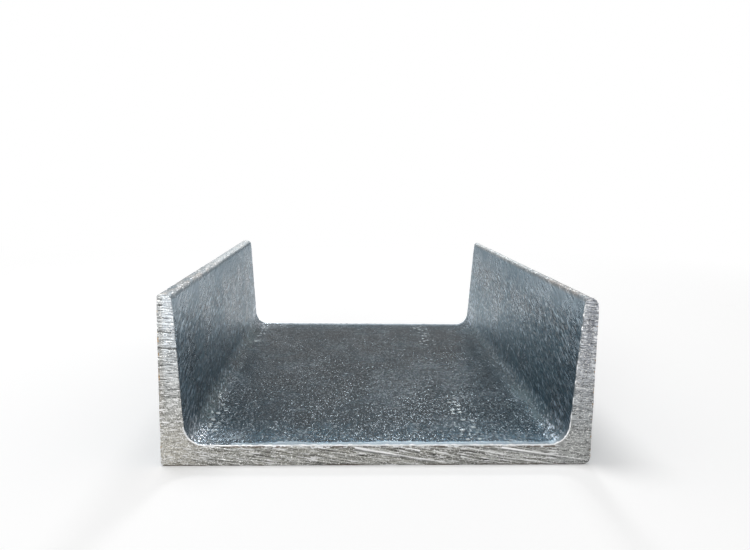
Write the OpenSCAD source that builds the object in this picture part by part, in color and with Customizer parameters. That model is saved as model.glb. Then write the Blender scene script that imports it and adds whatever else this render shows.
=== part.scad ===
// Hot-rolled stainless steel channel: a short sawn length that lies on the back of its web.
// X runs across the section, Y along the piece and Z up. The origin is on the underside,
// halfway across the section and halfway along the piece.

/* [Section] */
// Depth of the section, from the back of one flange to the back of the other
section_depth = 140; // [120:1:200]
// Width of each flange, from the back of the web to the tip of the toe
flange_width = 56; // [45:1:60]
// Thickness of the web
web_thickness = 7; // [6:0.5:9]
// Thickness of each flange, halfway between the web and the toe
flange_thickness = 6.4; // [6.4:0.1:9]
// Taper of each flange: how much thinner it gets towards the toe, in percent of its width
flange_taper = 6.5; // [2:0.5:6.5]

/* [Rounded corners] */
// Fillet between the web and each flange
root_radius = 6.5; // [3:0.5:9]
// Left heel, where the back of the flange meets the back of the web
left_heel_radius = 1.3; // [0.5:0.1:4]
// Right heel
right_heel_radius = 2.6; // [0.5:0.1:4]
// Left toe, corner on the back of the flange
left_toe_back_radius = 0.9; // [0.4:0.1:2.2]
// Left toe, corner on the inside of the flange
left_toe_inner_radius = 2.1; // [0.4:0.1:2.1]
// Right toe, corner on the back of the flange
right_toe_back_radius = 3.2; // [0.4:0.1:3.2]
// Right toe, corner on the inside of the flange
right_toe_inner_radius = 1.2; // [0.4:0.1:1.2]

/* [Piece] */
// Length of the piece between its two sawn ends
piece_length = 190; // [60:5:600]

/* [Hidden] */
$fn = 96;

// How far a corner sliver reaches past its corner, as a share of its own size.
overreach = 1.2;

half_depth = section_depth / 2;
half_thinning = flange_taper / 100 * (flange_width - web_thickness) / 2;
root_thickness = flange_thickness + half_thinning;
toe_thickness = flange_thickness - half_thinning;

// Corners of the right half of the section, before they are rounded.
heel = [half_depth, 0];
toe_back = [half_depth, flange_width];
toe_inner = [half_depth - toe_thickness, flange_width];
root = [half_depth - root_thickness, web_thickness];

function unit(v) = v / norm(v);
function mirrored(p) = [-p.x, p.y];

// The sliver between a corner and the circle that touches both of its sides. It reaches a little
// past the corner, so that it leaves no skin when it is cut away or joined on.
// Cut from an outer corner it rounds the corner off, and added in an inner corner it is a fillet.
module corner_sliver(corner, along_a, along_b, radius) {
    half_angle = acos(unit(along_a) * unit(along_b)) / 2;
    reach = radius / tan(half_angle);
    centre = corner + unit(unit(along_a) + unit(along_b)) * radius / sin(half_angle);
    touch_a = corner + unit(along_a) * reach;
    touch_b = corner + unit(along_b) * reach;
    difference() {
        polygon([
            centre,
            centre + (touch_a - centre) * overreach,
            centre + (corner - centre) * overreach,
            centre + (touch_b - centre) * overreach
        ]);
        translate(centre) circle(r = radius);
    }
}

// The metal that fills the root of the right flange.
module root_fillet() {
    corner_sliver(root, [-1, 0], toe_inner - root, root_radius);
}

// The metal that the rolls leave off the outer corners of the right flange.
module rounded_off(heel_radius, toe_back_radius, toe_inner_radius) {
    corner_sliver(heel, [-1, 0], [0, 1], heel_radius);
    corner_sliver(toe_back, [0, -1], [-1, 0], toe_back_radius);
    corner_sliver(toe_inner, [1, 0], root - toe_inner, toe_inner_radius);
}

// The rolled section, with the web below and the flanges standing on it.
module section() {
    difference() {
        union() {
            polygon([
                heel, toe_back, toe_inner, root,
                mirrored(root), mirrored(toe_inner), mirrored(toe_back), mirrored(heel)
            ]);
            root_fillet();
            mirror([1, 0]) root_fillet();
        }
        rounded_off(right_heel_radius, right_toe_back_radius, right_toe_inner_radius);
        mirror([1, 0]) rounded_off(left_heel_radius, left_toe_back_radius, left_toe_inner_radius);
    }
}

// The channel, one rolled piece sawn square at both ends.
module channel() {
    color([0.58, 0.60, 0.61])
        rotate([90, 0, 0])
            linear_extrude(height = piece_length, center = true)
                section();
}

channel();
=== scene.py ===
import math

import bmesh
import bpy
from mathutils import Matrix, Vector, noise


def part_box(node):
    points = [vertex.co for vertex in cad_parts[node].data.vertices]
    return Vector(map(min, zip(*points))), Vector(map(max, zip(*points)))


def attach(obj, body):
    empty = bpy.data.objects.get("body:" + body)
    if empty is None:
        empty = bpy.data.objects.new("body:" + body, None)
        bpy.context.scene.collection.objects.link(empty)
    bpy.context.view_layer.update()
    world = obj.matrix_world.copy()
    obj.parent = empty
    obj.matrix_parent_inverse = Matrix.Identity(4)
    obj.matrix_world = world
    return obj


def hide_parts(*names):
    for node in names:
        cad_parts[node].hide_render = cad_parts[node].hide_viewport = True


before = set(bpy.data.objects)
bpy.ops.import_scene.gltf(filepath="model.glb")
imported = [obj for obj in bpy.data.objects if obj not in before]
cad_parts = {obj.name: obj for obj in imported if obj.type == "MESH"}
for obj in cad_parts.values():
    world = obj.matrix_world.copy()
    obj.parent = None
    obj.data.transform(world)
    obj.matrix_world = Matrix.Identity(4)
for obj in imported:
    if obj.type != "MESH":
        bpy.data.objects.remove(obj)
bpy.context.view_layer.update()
mm = 0.001

# ---------------------------------------------------------------------------------------------
# The viewpoint: close above the front end of the channel, a little left of its middle, looking
# along the piece and slightly down.
# ---------------------------------------------------------------------------------------------
viewpoint = bpy.data.cameras.new("viewpoint")
viewpoint.sensor_width = 36
viewpoint.lens = 33.44
viewpoint.clip_start = 0.01
camera = bpy.data.objects.new("viewpoint", viewpoint)
camera.location = (-12.48 * mm, -310.63 * mm, 92.36 * mm)
camera.rotation_euler = [math.radians(a) for a in (82.134, -0.887, -2.632)]
bpy.context.scene.collection.objects.link(camera)
bpy.context.scene.camera = camera
bpy.context.scene.view_settings.view_transform = "Standard"


# ---------------------------------------------------------------------------------------------
# The studio: a plain pale floor, white surroundings and large soft lamps. The light is plain and
# comes from above, stronger from the front left.
# ---------------------------------------------------------------------------------------------
class Nodes:
    """Places and joins the nodes of one shader."""

    def __init__(self, tree):
        self.tree = tree
        tree.nodes.clear()

    def add(self, kind, inputs=None, **settings):
        """Adds a node. An input is either its value or the output of another node."""
        node = self.tree.nodes.new(kind)
        for name, value in settings.items():
            setattr(node, name, value)
        for key, value in (inputs or {}).items():
            if isinstance(value, bpy.types.NodeSocket):
                self.tree.links.new(value, node.inputs[key])
            else:
                node.inputs[key].default_value = value
        return node

    def maths(self, operation, *values, **settings):
        """The result of an operation on one, two or three values."""
        node = self.add("ShaderNodeMath", dict(enumerate(values)), operation=operation, **settings)
        return node.outputs[0]

    def times(self, first, *others):
        """The product of values, which for masks is where all of them hold."""
        for other in others:
            first = self.maths("MULTIPLY", first, other)
        return first

    def most(self, one, other):
        """The larger of two values, which for masks is where either holds."""
        return self.maths("MAXIMUM", one, other)

    def fade(self, value, start, end, low=0.0, high=1.0, **settings):
        """Goes from low to high as a value goes from start to end."""
        limits = {"From Min": start, "From Max": end, "To Min": low, "To Max": high}
        return self.add("ShaderNodeMapRange", {"Value": value, **limits}, **settings).outputs["Result"]

    def between(self, share, first, second, kind="FLOAT"):
        """Goes from the first value to the second as a share goes from 0 to 1."""
        node = self.add("ShaderNodeMix", {"Factor": share, "A": first, "B": second}, data_type=kind)
        return node.outputs["Result"]


surroundings = bpy.data.worlds.new("white_surroundings")
bpy.context.scene.world = surroundings
surroundings.use_nodes = True
sky = Nodes(surroundings.node_tree)
toward = sky.add("ShaderNodeTexCoord").outputs["Generated"]
direction = sky.add("ShaderNodeSeparateXYZ", {"Vector": toward}).outputs
# What the steel mirrors is brightest in front and high up, and dims behind and straight overhead.
front = sky.fade(direction["Y"], 0.8, -0.4, 0.3)
above = sky.fade(direction["Z"], 0.3, 0.8, 0.3)
not_overhead = sky.fade(direction["Z"], 0.82, 0.97, 1.0, 0.55)
mirrored = sky.most(front, sky.times(above, not_overhead))
ray = sky.add("ShaderNodeLightPath").outputs
lighting = sky.between(ray["Is Glossy Ray"], 0.45, mirrored)
strength = sky.between(ray["Is Camera Ray"], lighting, 1.0)
backdrop = sky.add("ShaderNodeBackground", {"Color": (1, 1, 1, 1), "Strength": strength})
sky.add("ShaderNodeOutputWorld", {"Surface": backdrop.outputs[0]})

# The floor is matt near the channel, where it takes the shadow, and fades to white further off.
bm = bmesh.new()
bmesh.ops.create_circle(bm, cap_ends=True, segments=64, radius=3.0)
floor_mesh = bpy.data.meshes.new("floor")
bm.to_mesh(floor_mesh)
bm.free()
floor = bpy.data.objects.new("floor", floor_mesh)
bpy.context.scene.collection.objects.link(floor)
pale_floor = bpy.data.materials.new("pale_floor")
pale_floor.use_nodes = True
paint = Nodes(pale_floor.node_tree)
from_middle = paint.add("ShaderNodeTexCoord").outputs["Object"]
distance = paint.add("ShaderNodeVectorMath", {0: from_middle}, operation="LENGTH").outputs["Value"]
far_off = paint.fade(distance, 0.25, 0.7, interpolation_type="SMOOTHSTEP")
matt = paint.add("ShaderNodeBsdfDiffuse", {"Color": (0.9, 0.9, 0.9, 1)})
lift = paint.times(paint.add("ShaderNodeLightPath").outputs["Is Camera Ray"], 0.2)
glow = paint.add("ShaderNodeEmission", {"Color": (1, 1, 1, 1), "Strength": lift})
lifted = paint.add("ShaderNodeAddShader", {0: matt.outputs[0], 1: glow.outputs[0]})
white = paint.add("ShaderNodeEmission", {"Color": (1, 1, 1, 1), "Strength": 1.0})
whole = paint.add("ShaderNodeMixShader", {"Fac": far_off, 1: lifted.outputs[0], 2: white.outputs[0]})
paint.add("ShaderNodeOutputMaterial", {"Surface": whole.outputs[0]})
floor_mesh.materials.append(pale_floor)


def soft_lamp(name, size, place, power):
    """A round lamp turned toward the channel. Its size and place are in metres, its power in watts."""
    aim = Vector((0, 0, 0.03))
    lamp = bpy.data.lights.new(name, "AREA")
    lamp.shape = "DISK"
    lamp.size = size
    lamp.energy = power
    lamp_object = bpy.data.objects.new(name, lamp)
    lamp_object.location = place
    lamp_object.rotation_euler = (aim - Vector(place)).to_track_quat("-Z", "Y").to_euler()
    bpy.context.scene.collection.objects.link(lamp_object)


soft_lamp("overhead_lamp", 0.5, (-0.3, 0.1, 1.2), 5.0)
soft_lamp("front_left_lamp", 0.35, (-0.42, -1.03, 0.2), 2.3)
soft_lamp("back_lamp", 0.2, (0.12, 0.85, 0.85), 2.1)

# ---------------------------------------------------------------------------------------------
# The channel: one piece of hot-rolled stainless steel, with thin tapered flanges, fillets in the
# roots and rounded toes. The rolls leave it slightly wavy and the pickling bath leaves it dull;
# a saw cuts both ends square, and its teeth leave ridges and a small burr.
# ---------------------------------------------------------------------------------------------
half_depth, half_length, flange_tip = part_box("channel")[1]
web_top = 7.0 * mm
toe_thickness = 4.8 * mm
root_thickness = 8.0 * mm
inner_lean = (root_thickness - toe_thickness) / (flange_tip - web_top)

# Each corner of the section: its place, how many millimetres its rounding reaches from it, and
# the steps that the rounding is made in.
corners = [
    (-half_depth, 0, 1.3, 4),  # left heel
    (half_depth, 0, 2.6, 6),  # right heel
    (half_depth, flange_tip, 3.2, 7),  # back of the right toe
    (half_depth - toe_thickness, flange_tip, 1.28, 4),  # inside of the right toe
    (half_depth - root_thickness, web_top, 6.09, 14),  # right root
    (root_thickness - half_depth, web_top, 6.09, 14),  # left root
    (toe_thickness - half_depth, flange_tip, 2.24, 6),  # inside of the left toe
    (-half_depth, flange_tip, 0.9, 4),  # back of the left toe
]
bm = bmesh.new()
front_end = bm.faces.new([bm.verts.new((x, -half_length, z)) for x, z, *rounding in corners])
grown = bmesh.ops.extrude_face_region(bm, geom=[front_end])["geom"]
back_end = [f for f in grown if isinstance(f, bmesh.types.BMFace)][0]
bmesh.ops.translate(bm, verts=back_end.verts[:], vec=(0, 2 * half_length, 0))
bmesh.ops.recalc_face_normals(bm, faces=bm.faces[:])
for x, z, reach, steps in corners:
    bmesh.ops.bevel(
        bm,
        geom=[e for e in bm.edges if all(math.dist(v.co.xz, (x, z)) < 0.001 * mm for v in e.verts)],
        offset=reach * mm,
        offset_type="OFFSET",
        segments=steps,
        profile=0.5,
        affect="EDGES",
        material=-1,
        clamp_overlap=False,
    )


def faces_trough(point):
    """Whether a point on the edge of a cut is on the side of the trough."""
    return 3 * mm < point.z < flange_tip - 1 * mm and abs(point.x) < half_depth - 4 * mm


# The edges of both cuts are broken, and burred where they face the trough, except on the front
# end's upper left flange, which is clean.
rolled, sawn, burred = 0, 1, 2
ends = [f for f in bm.faces if abs(f.normal.y) > 0.9]
for f in ends:
    f.material_index = sawn
edge_break = 0.36 * mm
rim = bmesh.ops.inset_region(bm, faces=ends, thickness=edge_break, depth=0, use_even_offset=True)["faces"]
for f in rim:
    middle = f.calc_center_median()
    clean = middle.x < -60 * mm and middle.z > 28 * mm and middle.y < 0
    f.material_index = burred if faces_trough(middle) and not clean else sawn


def cut(axis, at, faces):
    """Cuts faces along a plane square to an axis, so that they can carry relief."""
    edges = list(dict.fromkeys(e for f in faces for e in f.edges))
    verts = list(dict.fromkeys(v for e in edges for v in e.verts))
    co, no = [0, 0, 0], [0, 0, 0]
    co[axis], no[axis] = at, 1
    bmesh.ops.bisect_plane(bm, geom=verts + edges + list(faces), dist=0.01 * mm, plane_co=co, plane_no=no)


def end_faces():
    """The faces of both cuts and their edges, as they are by now."""
    return [f for f in bm.faces if f.material_index != rolled]


# Lengthwise cuts through the whole piece, then finer ones through its ends alone.
column, row = 1.2 * mm, 1.1 * mm
columns, rows = int(half_depth / column), int(flange_tip / row)
rows_between = 6
for i in range(-columns, columns + 1):
    cut(0, i * column, bm.faces[:])
for i in range(1, rows + 1):
    cut(2, i * row, bm.faces[:])
for i in range(-columns - 1, columns + 1):
    cut(0, (i + 0.5) * column, end_faces())
for i in range(0, rows + 1):
    for part in range(1, rows_between):
        cut(2, (i + part / rows_between) * row, end_faces())

# Rings around the piece, evenly spaced along it but closer together at the ends.
for back in (0.35, 0.8, 1.5):
    for side in (-1, 1):
        cut(1, side * (half_length - back * mm), [f for f in bm.faces if f.material_index == rolled])
rings = 105
long_edges = [e for e in bm.edges if abs(e.verts[0].co.y - e.verts[1].co.y) > half_length]
bmesh.ops.subdivide_edges(bm, edges=long_edges, cuts=rings, use_grid_fill=True)


def ramp(value, start, end):
    """Goes from 0 to 1 as a value goes from start to end."""
    return max(0.0, min(1.0, (value - start) / (end - start)))


def wander(point, across, along, seed):
    """Smooth drift between -1 and 1, stretched along the piece. Sizes are in metres."""
    return noise.noise(Vector((point.x / across + seed, point.y / along, point.z / across - seed)))


def rolled_hollow(point):
    """How far the rolls and the pickling left a point of the skin below its true place. Every
    depth is in millimetres up to the last line."""
    wave = 0.06 * (1 + wander(point, 16 * mm, 45 * mm, 3.1))
    ripple = 0.035 * (1 + wander(point, 5 * mm, 9 * mm, 8.7))
    dimple = 0.02 * (1 + wander(point, 2.6 * mm, 3.4 * mm, 5.3))
    toe = ramp(point.z, flange_tip - 5 * mm, flange_tip - 2 * mm)
    ragged = 0.12 * toe * (1 + wander(point, 9 * mm, 6 * mm, 12.4))
    dent, dent_apart, dent_radius = 0.0, 11, 1.8
    distances, places = noise.voronoi(point / (dent_apart * mm))
    if noise.noise(places[0] * 7.3) > 0.12:
        dent = 0.16 * max(0.0, 1 - (distances[0] * dent_apart / dent_radius) ** 2)
    return (wave + ripple + dimple + ragged + dent) * mm


def tooth_lines(across, along, spacing, dash, seed):
    """Broken ridges and grooves of the saw teeth, from -1 to 1, at one spacing and length of dash."""
    stray = noise.noise(Vector((across / (2 * spacing), along / (2 * dash), seed)))
    present = noise.noise(Vector((across / (0.7 * spacing), along / dash, seed + 9.2)))
    wave = math.sin(2 * math.pi * (across / spacing + 0.5 * stray))
    narrow = 0.6 * wave if wave > 0 else -wave * wave
    return narrow * ramp(present, -0.25, 0.35)


def scrape(across, along, width, length, seed):
    """Fine scraping between the teeth's ridges, from -1 to 1."""
    return noise.noise(Vector((across / width, along / length, seed)))


# The longest marks on the front end, each from one point to another across it and up it, in
# millimetres: bright scratches and fainter ones, mostly on the web, and two deep grooves and a pit
# on the left flange.
scratches = [(-7.5, 6.0, 23.5, 0.6), (40.5, 6.0, 69.0, 1.6), (13.2, 5.0, 9.5, 5.9)]
faint_scratches = [
    (29.0, 5.9, 53.5, 1.0),
    (27.0, 2.8, 39.0, 0.4),
    (18.0, 5.0, 26.5, 2.7),
    (63.5, 26.3, 69.2, 25.6),
]
deep_grooves = [(-69.6, 44.1, -65.4, 43.7), (-69.5, 38.9, -63.6, 38.3), (-69.0, 52.4, -68.4, 52.4)]


def nearness(point, mark, width):
    """How near a point of the front end is to a mark: 1 on it, 0 when further than its width."""
    x0, z0, x1, z1 = [value * mm for value in mark]
    share = ramp(point.x, x0, x1)
    off = math.hypot(point.x - x0 - share * (x1 - x0), point.z - z0 - share * (z1 - z0))
    return 1 - ramp(off, 0, width)


def sawn_lines(point):
    """The saw's ridges at a point of a sawn end, level on the flanges and slanting on the web."""
    side = math.copysign(1, point.x)
    flange_share = ramp(abs(point.x), 57 * mm, 63 * mm)
    slope = 0.16 - 0.16 * point.z / flange_tip
    beside = point.x - side * 66 * mm
    seed = 3.7 if point.y < 0 else 41.3
    across = point.z + 0.15 * point.x
    web = tooth_lines(across, point.x, 0.95 * mm, 9 * mm, seed)
    web += 0.8 * scrape(across, point.x, 0.45 * mm, 6 * mm, seed + 4.6)
    across = point.z + slope * beside
    toward_toe = ramp(point.z, 28 * mm, 46 * mm)
    spacing = 1.15 * mm if side < 0 else 0.9 * mm
    flange = (0.25 + 0.75 * toward_toe) * tooth_lines(across, beside, spacing, 6 * mm, seed + 17 * side)
    flange += 0.6 * scrape(across, beside, 0.4 * mm, 2.5 * mm, seed - 17 * side)
    lines = web + (flange - web) * flange_share
    if point.y < 0:
        lines -= 2.2 * max(nearness(point, mark, 0.45 * mm) for mark in deep_grooves)
        lines += 0.6 * max(nearness(point, mark, 0.35 * mm) for mark in scratches)
    return max(-1.0, min(1.0, lines))


def sawn_hollow(point, lines):
    """How far a point of a sawn end lies below its true plane."""
    depth = 0.08 - 0.03 * ramp(-point.x, 57 * mm, 63 * mm)
    chips = max(0.0, noise.noise(Vector((point.x / (1.1 * mm), point.y / mm, point.z / (1.1 * mm)))) - 0.45)
    return (0.10 - depth * lines + 0.25 * chips) * mm


def edge_shape(point, out, inward):
    """The move of a point on the edge of a cut and the ridge it carries: a burr, or a worn edge."""
    ragged = noise.noise(Vector((point.x / (1.7 * mm), point.y, point.z / (1.7 * mm))))
    ragged += 0.6 * noise.noise(Vector((point.x / (0.8 * mm), point.y, point.z / (0.8 * mm))))
    if faces_trough(point):
        standing = 1 - 0.7 * ramp(point.z, 12 * mm, 18 * mm)
        burr = out * standing * (0.14 + 0.18 * max(0, ragged + 0.2)) * mm
        return burr + inward * (0.20 + 0.12 * ragged) * mm, 0.4
    # The ridge that a worn edge carries darkens it a little low down and paints a highlight along the toe
    # tops.
    worn = inward * (0.14 + 0.08 * ragged) * mm - out * 0.14 * max(0, ragged) * mm
    return worn, 1.5 * ramp(point.z, 50 * mm, 54 * mm) - 0.5


ridge = bm.verts.layers.float.new("saw_ridge")
moves = []
for v in bm.verts:
    side_normals = [f.normal for f in v.link_faces if f.material_index == rolled]
    at_end = len(side_normals) < len(v.link_faces)
    point = v.co.copy()
    shift = Vector((0, 0, 0))
    inward = Vector((0, -math.copysign(1, point.y), 0))
    if side_normals:
        out = sum(side_normals, Vector()).normalized()
        shift -= out * rolled_hollow(point)
    if side_normals and at_end:
        edge_shift, v[ridge] = edge_shape(point, out, inward)
        shift += edge_shift
    elif at_end:
        v[ridge] = sawn_lines(point)
        shift += inward * sawn_hollow(point, v[ridge])
    moves.append((v, shift))
for v, shift in moves:
    v.co += shift
bm.normal_update()
sharp_turn = math.radians(32)
for e in bm.edges:
    e.smooth = len(e.link_faces) == 2 and e.calc_face_angle(0) < sharp_turn
for f in bm.faces:
    f.smooth = True

mesh = bpy.data.meshes.new("rolled_channel")
bm.to_mesh(mesh)
bm.free()
channel = bpy.data.objects.new("rolled_channel", mesh)
bpy.context.scene.collection.objects.link(channel)
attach(channel, "root")
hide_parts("channel")


def tone(red, green, blue):
    """A colour given as it shows on a screen, 0 to 255."""
    return [((c / 255 + 0.055) / 1.055) ** 2.4 for c in (red, green, blue)] + [1]


class Patterns(Nodes):
    """The nodes of one finish, or of one effect that finishes share."""

    def noise(self, vector, scale, detail, roughness=0.5, **settings):
        """Smooth noise, with its scale in features to the metre."""
        look = {"Vector": vector, "Scale": scale, "Detail": detail, "Roughness": roughness}
        return self.add("ShaderNodeTexNoise", look, **settings).outputs["Fac"]

    def mapped(self, vector, kind="POINT", **turns):
        """A place that is moved, turned or scaled."""
        return self.add("ShaderNodeMapping", {"Vector": vector, **turns}, vector_type=kind).outputs[0]

    def blend(self, share, first, second, how="MIX"):
        """Lays a share of the second colour over the first."""
        layers = {"Factor": share, "A": first, "B": second}
        return self.add("ShaderNodeMix", layers, data_type="RGBA", blend_type=how).outputs["Result"]

    def rest(self, share):
        """What a share leaves of the whole."""
        return self.maths("SUBTRACT", 1.0, share)

    def vectors(self, operation, first, second):
        """The outputs of an operation on two vectors."""
        return self.add("ShaderNodeVectorMath", {0: first, 1: second}, operation=operation).outputs

    def place(self, group, **inputs):
        """Puts an effect among these nodes, with values of its own."""
        return self.add("ShaderNodeGroup", inputs, node_tree=group).outputs


def effect(name, inputs, outputs):
    """An empty shader group, the nodes inside it and the inputs that it is given."""
    tree = bpy.data.node_groups.new(name, "ShaderNodeTree")
    for way, sockets in (("INPUT", inputs), ("OUTPUT", outputs)):
        for label, kind in sockets.items():
            tree.interface.new_socket(label, in_out=way, socket_type="NodeSocket" + kind)
    inside = Patterns(tree)
    return tree, inside, inside.add("NodeGroupInput").outputs


# Small bright or dark spots of about one size, where a fine noise rises above a level. Its size is
# in millimetres, like that of the next two effects.
specks, inside, given = effect(
    "specks", {"Vector": "Vector", "Size": "Float", "Level": "Float", "Softness": "Float"}, {"Mask": "Float"}
)
fineness = inside.maths("DIVIDE", 1 / mm, given["Size"])
peaks = inside.noise(given["Vector"], fineness, 2.0, 0.55)
top = inside.maths("ADD", given["Level"], given["Softness"])
inside.add("NodeGroupOutput", {"Mask": inside.fade(peaks, given["Level"], top)})

# A colour that drifts between a dark and a light tone in soft patches.
drift, inside, given = effect(
    "drift",
    {"Vector": "Vector", "Size": "Float", "Dark": "Color", "Light": "Color"},
    {"Color": "Color", "Share": "Float"},
)
fineness = inside.maths("DIVIDE", 1 / mm, given["Size"])
share = inside.fade(inside.noise(given["Vector"], fineness, 4.0, 0.6), 0.36, 0.64)
inside.add("NodeGroupOutput", {"Color": inside.blend(share, given["Dark"], given["Light"]), "Share": share})

# Small round dents of about one size, in a share of the places where they could be.
dents, inside, given = effect(
    "dents", {"Vector": "Vector", "Size": "Float", "Share": "Float"}, {"Mask": "Float"}
)
fineness = inside.maths("DIVIDE", 1 / mm, given["Size"])
cells = inside.add("ShaderNodeTexVoronoi", {"Vector": given["Vector"], "Scale": fineness}).outputs
round_spot = inside.fade(cells["Distance"], 0.50, 0.36)
lot = inside.add("ShaderNodeSeparateColor", {"Color": cells["Color"]}).outputs["Red"]
chosen = inside.maths("LESS_THAN", lot, given["Share"])
inside.add("NodeGroupOutput", {"Mask": inside.times(round_spot, chosen)})

# One straight stroke of a tool from a start to an end, fading out over its width and thinner
# toward its end. Its places and its width are in metres.
stroke, inside, given = effect(
    "stroke", {"Vector": "Vector", "Start": "Vector", "End": "Vector", "Width": "Float"}, {"Mask": "Float"}
)
run = inside.vectors("SUBTRACT", given["End"], given["Start"])["Vector"]
reached = inside.vectors("SUBTRACT", given["Vector"], given["Start"])["Vector"]
ahead = inside.vectors("DOT_PRODUCT", reached, run)["Value"]
whole = inside.vectors("DOT_PRODUCT", run, run)["Value"]
part = inside.maths("DIVIDE", ahead, whole, use_clamp=True)
foot = inside.add("ShaderNodeVectorMath", {0: run, "Scale": part}, operation="SCALE").outputs["Vector"]
off = inside.vectors("DISTANCE", reached, foot)["Value"]
wearing = inside.between(part, 1.0, 0.45)
widths_off = inside.maths("DIVIDE", off, inside.times(given["Width"], wearing))
line = inside.maths("SUBTRACT", 2.0, widths_off, use_clamp=True)
inside.add("NodeGroupOutput", {"Mask": inside.times(line, wearing)})


def finish(name):
    """A new finish of the channel, and the place on the channel that its patterns follow. They
    are made in the order rolled, sawn and burred."""
    made = bpy.data.materials.new(name)
    made.use_nodes = True
    mesh.materials.append(made)
    nodes = Patterns(made.node_tree)
    return nodes, nodes.add("ShaderNodeTexCoord").outputs["Object"]


def metal(nodes, colour, roughness, height, depth):
    """Joins colour, roughness and relief to the metal itself."""
    relief = nodes.add("ShaderNodeBump", {"Height": height, "Distance": depth, "Strength": 1.0})
    look = {"Base Color": colour, "Metallic": 1.0, "Roughness": roughness, "Normal": relief.outputs["Normal"]}
    steel = nodes.add("ShaderNodeBsdfPrincipled", look)
    nodes.add("ShaderNodeOutputMaterial", {"Surface": steel.outputs[0]})


# Rolled and pickled skin: dull blue-grey and mottled, with fine dark pits and bright flecks, rows of
# dents low in the trough and slanting strokes on the flanges. The sawn edges of the web are lighter.
# The toes are nicked and painted bright for the light from above; painted shade darkens the web, and
# painted light lightens the ends, the upper and right flanks and the roots, with painted glints.
skin, where = finish("rolled_steel")
across, along, up = skin.add("ShaderNodeSeparateXYZ", {"Vector": where}).outputs
side_out = skin.maths("ABSOLUTE", across)
length_out = skin.maths("ABSOLUTE", along)
inner_side = skin.maths("LESS_THAN", side_out, half_depth - 2.8 * mm)
above_back = skin.maths("GREATER_THAN", up, 5 * mm)
inside_face = skin.times(inner_side, above_back)
on_flank = skin.times(inner_side, skin.maths("GREATER_THAN", up, 8.3 * mm))
near_end = skin.fade(length_out, half_length - 11 * mm, half_length - 2 * mm)
last_part = skin.fade(length_out, half_length - 25 * mm, half_length - 13 * mm)

# The grain of the skin is drawn out along the piece, and slants on the insides of the flanges.
straight = skin.mapped(where, Scale=(1, 0.4, 1))
slanting = skin.mapped(where, "TEXTURE", Rotation=(math.radians(22), 0, 0), Scale=(1, 5, 1))
drawn_out = skin.between(on_flank, straight, slanting, "VECTOR")
aside = skin.mapped(drawn_out, Location=(1, 2, 3))
crowd = skin.noise(drawn_out, 80.0, 2.0)
lengthwise = skin.mapped(where, Scale=(1, 0.03, 1))
drawn = skin.noise(lengthwise, 700.0, 4.0, 0.65)
mottle = skin.place(drift, Vector=where, Size=14.0, Dark=tone(64, 94, 111), Light=tone(89, 120, 137))
colour = skin.blend(0.6, mottle["Color"], drawn, "SOFT_LIGHT")

# Painted shade: the web is painted darker than the flanks, but less so toward its ends.
wobble = skin.maths("MULTIPLY_ADD", crowd, 12 * mm, -6 * mm)
sideways = skin.maths("ADD", across, wobble)
out_from_middle = skin.maths("ABSOLUTE", sideways)
between_flanks = skin.maths("LESS_THAN", out_from_middle, half_depth - 4 * mm)
on_web = skin.times(skin.fade(up, 12 * mm, 8 * mm), between_flanks, above_back)
shade_away_from_ends = skin.fade(length_out, half_length - 1 * mm, half_length - 25 * mm, 0.3)
colour = skin.blend(skin.times(on_web, shade_away_from_ends), colour, tone(158, 160, 160), "MULTIPLY")

# The outer faces are plainer and greyer, streaked along the piece and faintly scuffed.
plain = skin.place(drift, Vector=lengthwise, Size=9.0, Dark=tone(76, 88, 95), Light=tone(106, 115, 120))
outer_skin = skin.blend(0.35, plain["Color"], mottle["Color"])
outer_skin = skin.blend(0.9, outer_skin, drawn, "SOFT_LIGHT")
scuffed = skin.mapped(where, Rotation=(0.04, 0, 0), Scale=(1, 0.09, 1))
scuffs = skin.place(specks, Vector=scuffed, Size=1.1, Level=0.59, Softness=0.16)["Mask"]
outer_skin = skin.blend(scuffs, outer_skin, tone(134, 146, 153))
colour = skin.blend(skin.rest(inside_face), colour, outer_skin)

# Painted light makes the skin lighter near the sawn ends, and the left of the web there is cloudy.
colour = skin.blend(skin.times(near_end, 0.35), colour, tone(130, 152, 168))
at_left = skin.fade(across, -40 * mm, -46 * mm)
last_bit = skin.fade(length_out, half_length - 16 * mm, half_length - 6 * mm)
cloudy = skin.place(drift, Vector=aside, Size=3.0, Dark=tone(128, 146, 158), Light=tone(186, 198, 208))
colour = skin.blend(skin.times(on_web, at_left, last_bit), colour, cloudy["Color"])

# The fillets keep a smoother skin than the rest, except toward the ends.
past_web = skin.fade(out_from_middle, 56.5 * mm, 61 * mm)
patchy = skin.fade(crowd, 0.38, 0.55, 0.35)
past_middle = skin.fade(length_out, 25 * mm, 45 * mm, 0.25)
smooth_fillet = skin.times(past_web, on_web, patchy, past_middle, skin.rest(last_part))
colour = skin.blend(smooth_fillet, colour, tone(114, 136, 140))

# Pits and flecks, fewer of them in the fillets and on the outer faces.
speckled = skin.times(skin.between(smooth_fillet, 1.0, 0.3), skin.between(inside_face, 0.35, 1.0))
pits = skin.place(specks, Vector=aside, Size=0.8, Level=0.52, Softness=0.12)["Mask"]
colour = skin.blend(skin.times(pits, speckled), colour, tone(46, 60, 69))
turned = skin.mapped(straight, Rotation=(0.5, 0.4, 0.6))
flecks = skin.fade(skin.noise(turned, 1000.0, 0.0, noise_type="RIDGED_MULTIFRACTAL"), 0.08, 0.25)
colour = skin.blend(skin.times(flecks, speckled, on_web), colour, tone(142, 154, 161))

# Painted light: the lower part of the right flank is painted a little lighter, as lit from that side.
right_side = skin.fade(across, 55 * mm, 62 * mm, 0.0, 0.35)
lower_flank = skin.fade(up, 40 * mm, 26 * mm)
colour = skin.blend(skin.times(right_side, lower_flank, inside_face), colour, tone(122, 152, 168))
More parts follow.
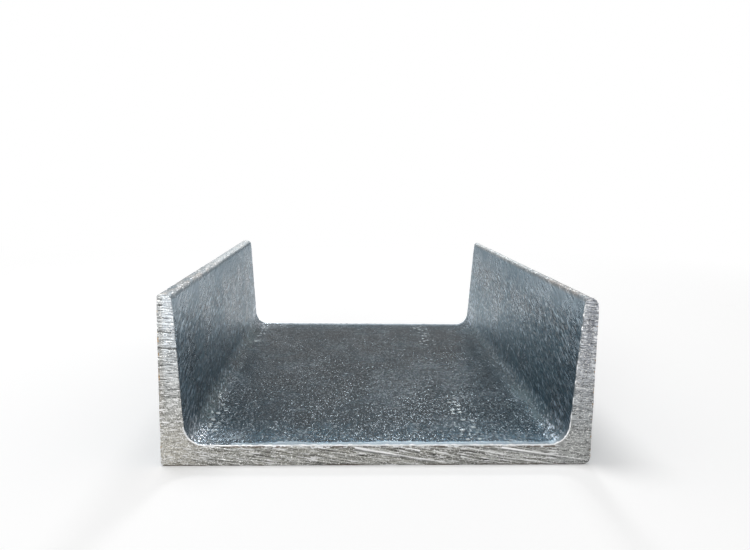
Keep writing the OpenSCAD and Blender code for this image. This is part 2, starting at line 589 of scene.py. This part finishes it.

# Short slanting strokes on the flanks, close together. In the roots near the ends the strokes are painted
# glints, bluer and duller on the right, and the roots there are painted lighter.
left_half = skin.maths("LESS_THAN", across, 0.0)
toward_root = skin.maths("MULTIPLY_ADD", left_half, 4.5 * mm, out_from_middle)
near_root = skin.fade(toward_root, 56 * mm, 60 * mm)
root_height = skin.times(skin.fade(up, 21 * mm, 15 * mm), above_back)
root_end = skin.times(near_root, last_part, inner_side, root_height)
stroke_level = skin.maths("MULTIPLY_ADD", root_end, -0.01, skin.between(last_part, 0.575, 0.53))
strokes = skin.place(specks, Vector=drawn_out, Size=0.8, Level=stroke_level, Softness=0.05)["Mask"]
stroked = skin.times(strokes, skin.most(on_flank, root_end))
right_root_glints = skin.times(root_end, skin.rest(left_half), stroked)
stroke_tone = skin.blend(root_end, tone(190, 210, 223), tone(234, 241, 250))
stroke_tone = skin.blend(right_root_glints, stroke_tone, tone(226, 241, 255))
colour = skin.blend(root_end, colour, skin.blend(0.25, colour, tone(138, 158, 172)))
colour = skin.blend(stroked, colour, stroke_tone)

# Bright specks all over, closer together in some places than in others.
salt_level = skin.fade(crowd, 0.35, 0.65, 0.62, 0.55)
salt = skin.place(specks, Vector=drawn_out, Size=0.5, Level=salt_level, Softness=0.05)["Mask"]
colour = skin.blend(skin.times(salt, speckled), colour, tone(164, 174, 181))

# Rows of small dents, painted bright as glints, in the left root and right of the middle of the web.
in_left_root = skin.maths("COMPARE", sideways, -56 * mm, 2.8 * mm)
beside_middle = skin.maths("COMPARE", sideways, 32 * mm, 3 * mm)
in_a_row = skin.most(in_left_root, beside_middle)
toward_end = skin.fade(length_out, 38 * mm, 46 * mm)
dent = skin.place(dents, Vector=where, Size=2.4, Share=0.5)["Mask"]
glinting_dents = skin.times(dent, in_a_row, on_web, toward_end)
colour = skin.blend(glinting_dents, colour, tone(204, 214, 218))

# A light strip with a wavy border along the sawn edges of the web.
wavy_length = skin.maths("MULTIPLY_ADD", crowd, 4 * mm, length_out)
last_strip = skin.fade(wavy_length, half_length - 1.1 * mm, half_length - 0.1 * mm, 0.0, 0.85)
in_trough = skin.times(skin.fade(up, 18 * mm, 10 * mm), between_flanks)
right_of_cloud = skin.fade(across, -49 * mm, -45 * mm)
light_strip = skin.times(last_strip, in_trough, right_of_cloud)
colour = skin.blend(light_strip, colour, tone(160, 173, 182))

# Painted light: the flanks are painted lighter upward, lightest toward the front. The toe tops are painted
# bright for the light from above, more so near the ends and on the far half, with rubbed patches, dark nicks
# and small painted glints.
far_half = skin.fade(along, -60 * mm, 0.0)
upper = skin.fade(up, flange_tip - 12 * mm, flange_tip - 2 * mm, 0.0, 0.9)
upper = skin.times(upper, skin.between(inside_face, 0.3, 1.0))
colour = skin.blend(upper, colour, skin.blend(far_half, tone(150, 171, 185), tone(98, 131, 150)))
lit_toe_top = skin.fade(up, flange_tip - 2 * mm, flange_tip - 0.7 * mm)
patches = skin.place(drift, Vector=aside, Size=5.0, Dark=tone(172, 183, 190), Light=tone(214, 209, 204))
lit_toe_tone = skin.blend(near_end, tone(225, 225, 225), tone(255, 255, 255))
lit_toe_tone = skin.blend(1.0, patches["Color"], lit_toe_tone, "MULTIPLY")
lit_toe_tone = skin.blend(far_half, lit_toe_tone, skin.blend(0.42, lit_toe_tone, tone(240, 250, 253)))
nicks = skin.place(specks, Vector=where, Size=1.0, Level=0.59, Softness=0.04)["Mask"]
lit_toe_tone = skin.blend(nicks, lit_toe_tone, tone(120, 133, 142))
glints = skin.place(specks, Vector=aside, Size=0.8, Level=0.58, Softness=0.05)["Mask"]
lit_toe_tone = skin.blend(glints, lit_toe_tone, tone(250, 252, 253))
colour = skin.blend(lit_toe_top, colour, lit_toe_tone)

# The pickled peel of the skin is flatter and duller on the toe tops, the light strip and part of the fillets,
# and hollow in the dents.
smoothed = skin.most(skin.most(lit_toe_top, light_strip), skin.times(smooth_fillet, 0.25))
dull = skin.maths("MULTIPLY_ADD", on_flank, 0.05, skin.between(mottle["Share"], 0.18, 0.3))
roughness = skin.between(skin.most(smoothed, skin.times(right_root_glints, 0.6)), dull, 0.5)
peel = skin.noise(drawn_out, skin.between(on_flank, 1200.0, 800.0), 3.0, 0.6)
peel = skin.times(peel, skin.between(on_flank, 0.8, 1.0), skin.between(glinting_dents, 1.0, 0.35))
hollow = skin.maths("MULTIPLY_ADD", glinting_dents, -0.2, peel)
kept = skin.maths("MULTIPLY_ADD", lit_toe_top, 0.4, skin.between(smoothed, 1.0, 0.2))
metal(skin, colour, roughness, skin.times(hollow, kept), 0.6 * mm)

# Sawn metal: bare grey, painted lighter on the left flange and upward as light from the front left
# and above, and cooler toward the toes, with fine streaks along the run of the teeth, grooves in
# painted shade and ridges with painted highlights, bright scratches, and brown stain in spots
# along the edges.
bare, where = finish("sawn_steel")
apart = bare.add("ShaderNodeSeparateXYZ", {"Vector": where}).outputs
across, up = apart["X"], apart["Z"]
side_out = bare.maths("ABSOLUTE", across)
on_left = bare.fade(across, -54 * mm, -64 * mm)
on_right = bare.fade(across, 54 * mm, 64 * mm)
on_flange = bare.fade(side_out, 58 * mm, 62 * mm)
ground = bare.place(drift, Vector=where, Size=9.0, Dark=tone(130, 129, 123), Light=tone(153, 153, 148))
toward_right = bare.fade(across, 15 * mm, 45 * mm, 0.0, 0.6)
colour = bare.blend(toward_right, ground["Color"], tone(160, 161, 158))
# Painted light: the flanges get lighter upward, the left one most, as lit from above and the front left.
height = bare.fade(up, 12 * mm, 45 * mm)
colour = bare.blend(on_left, colour, bare.blend(height, tone(156, 155, 149), tone(180, 186, 191)))
colour = bare.blend(on_right, colour, bare.blend(height, tone(158, 161, 162), tone(170, 174, 181)))
heel = bare.fade(up, 14 * mm, 6 * mm, 0.0, 0.6)
colour = bare.blend(bare.times(heel, on_left), colour, tone(194, 190, 180))
colour = bare.blend(bare.times(heel, on_right), colour, tone(170, 171, 168))

# The left flange's outer edge is duller, and on the right flange a dull stripe runs up the middle.
outer_edge = bare.fade(side_out, half_depth - 2.4 * mm, half_depth - 1.2 * mm)
duller = bare.times(outer_edge, bare.fade(up, 14 * mm, 20 * mm), on_left)
colour = bare.blend(duller, colour, tone(229, 225, 220), "MULTIPLY")
from_inner_edge = bare.maths("MULTIPLY_ADD", up, -inner_lean, side_out)
stripe_start = bare.fade(from_inner_edge, 63.2 * mm, 64.0 * mm)
stripe_end = bare.fade(from_inner_edge, 66.1 * mm, 65.3 * mm)
right_toe = bare.times(bare.fade(up, 22 * mm, 40 * mm), on_right)
stripe = bare.times(stripe_start, stripe_end, right_toe)
colour = bare.blend(stripe, colour, tone(226, 226, 227), "MULTIPLY")


def toothed(tilt, stretch):
    """The place on a cut, tilted and drawn out along the run of the saw's teeth."""
    return bare.mapped(where, "TEXTURE", Rotation=(0, math.radians(tilt), 0), Scale=(stretch, 1, 1))


def dashed(tilt, stretch):
    """Where the bright dashes are, drawn out along the run of the saw's teeth."""
    return bare.place(specks, Vector=toothed(tilt, stretch), Size=0.6, Level=0.56, Softness=0.05)["Mask"]


# Streaks and bright dashes along the run of the teeth, which tilts more on the web than on the
# flanges. The low left corner is grainy instead. Both tilts are in degrees.
web_tilt, flange_tilt = 8.5, 3
web_streak = bare.noise(toothed(web_tilt, 26), 3600.0, 2.0, 0.6)
flange_streak = bare.noise(toothed(flange_tilt, 9), 3600.0, 2.0, 0.6)
level_run = bare.mapped(where, Scale=(0.4, 1, 1))
grain = bare.noise(level_run, 2200.0, 2.0, 0.6)
grainy = bare.times(bare.fade(across, -36 * mm, -52 * mm, 0.0, 0.65), bare.fade(up, 24 * mm, 14 * mm))
streak = bare.between(grainy, bare.between(on_flange, web_streak, flange_streak), grain)
boldness = bare.maths("MULTIPLY_ADD", grainy, -0.25, bare.between(on_flange, 0.95, 0.7))
colour = bare.blend(boldness, colour, bare.fade(streak, 0.3, 0.7), "OVERLAY")
left_low = bare.times(bare.fade(up, 34 * mm, 26 * mm), on_left)
beside_stripe = bare.maths("SUBTRACT", right_toe, stripe)
where_dashed = bare.between(on_flange, 1.0, bare.most(left_low, beside_stripe))
dash = bare.between(on_flange, dashed(web_tilt, 8), dashed(flange_tilt, 5))
dash_tone = bare.blend(on_right, tone(228, 228, 228), tone(252, 253, 255))
colour = bare.blend(bare.times(dash, where_dashed, 0.9), colour, dash_tone)

# The saw's grooves are painted darker and its ridges brighter, painted shade and highlight on the relief,
# with salt and pepper between them.
ridges = bare.add("ShaderNodeAttribute", attribute_name="saw_ridge", attribute_type="GEOMETRY").outputs["Fac"]
colour = bare.blend(bare.fade(ridges, -0.3, -1.0), colour, tone(186, 186, 184), "MULTIPLY")
colour = bare.blend(bare.fade(ridges, 0.3, 1.0, 0.0, 0.65), colour, tone(228, 230, 230))
salt_level = bare.between(grainy, 0.585, 0.54)
salt = bare.place(specks, Vector=where, Size=0.4, Level=salt_level, Softness=0.05)["Mask"]
colour = bare.blend(salt, colour, tone(232, 232, 230))
pepper = bare.place(specks, Vector=level_run, Size=0.45, Level=0.57, Softness=0.05)["Mask"]
colour = bare.blend(pepper, colour, tone(200, 200, 199), "MULTIPLY")

# The longest marks. A scratch has a shadow just below it.
shadow_drop = 0.62
shadows = [(x0, z0 - shadow_drop, x1, z1 - shadow_drop) for x0, z0, x1, z1 in scratches]
kinds_of_mark = (
    (shadows, 0.22 * mm, tone(104, 106, 106), 0.75),
    (scratches, 0.22 * mm, tone(255, 255, 255), 1.0),
    (faint_scratches, 0.15 * mm, tone(240, 241, 240), 1.0),
    (deep_grooves, 0.2 * mm, tone(84, 84, 84), 0.8),
)
for marks, width, shade, strength in kinds_of_mark:
    worn = bare.fade(web_streak, 0.3, 0.5, 0.9 * strength, strength)
    for x0, z0, x1, z1 in marks:
        start, end = (x0 * mm, -half_length, z0 * mm), (x1 * mm, -half_length, z1 * mm)
        mark = bare.place(stroke, Vector=where, Start=start, End=end, Width=width)["Mask"]
        colour = bare.blend(bare.times(mark, worn), colour, shade)

# Brown stain in stretches under the burr and along the bottom edge, metal smeared down from the
# burr in drips, and rust spots on the outermost edges.
below_web_top = bare.maths("LESS_THAN", side_out, 58 * mm)
under_burr = bare.times(bare.maths("COMPARE", up, web_top - 0.6 * mm, 0.3 * mm), below_web_top)
at_bottom = bare.maths("LESS_THAN", up, 0.45 * mm)
stretches = bare.fade(bare.noise(where, 90.0, 3.0), 0.5, 0.56, 0.0, 0.75)
colour = bare.blend(bare.times(bare.most(under_burr, at_bottom), stretches), colour, tone(98, 86, 74))
drips = bare.maths("MULTIPLY_ADD", bare.noise(level_run, 900.0, 3.0, 0.65), 8 * mm, up)
smeared = bare.times(bare.fade(drips, 10.9 * mm, 11.2 * mm, 0.0, 0.9), below_web_top)
colour = bare.blend(smeared, colour, tone(236, 238, 240))
outermost = bare.maths("GREATER_THAN", side_out, half_depth - 0.5 * mm)
rust_spots = bare.place(specks, Vector=where, Size=1.6, Level=0.57, Softness=0.06)["Mask"]
colour = bare.blend(bare.times(outermost, rust_spots), colour, tone(160, 132, 96))
metal(bare, colour, bare.between(streak, 0.32, 0.5), streak, 0.05 * mm)

# The burr: metal smeared bright over the edge of the cut and painted near white as the highlight along it,
# broken into beads up the flanges.
burr, where = finish("burred_edge")
up = burr.add("ShaderNodeSeparateXYZ", {"Vector": where}).outputs["Z"]
smear_and_highlight = burr.place(drift, Vector=where, Size=2.5, Dark=tone(226, 229, 231), Light=tone(255, 255, 255))
beads = burr.place(specks, Vector=where, Size=1.6, Level=0.48, Softness=0.1)["Mask"]
gaps = burr.times(burr.rest(beads), burr.fade(up, 12 * mm, 18 * mm))
colour = burr.blend(gaps, smear_and_highlight["Color"], tone(124, 130, 134))
metal(burr, colour, 0.3, burr.noise(where, 2500.0, 2.0), 0.03 * mm)
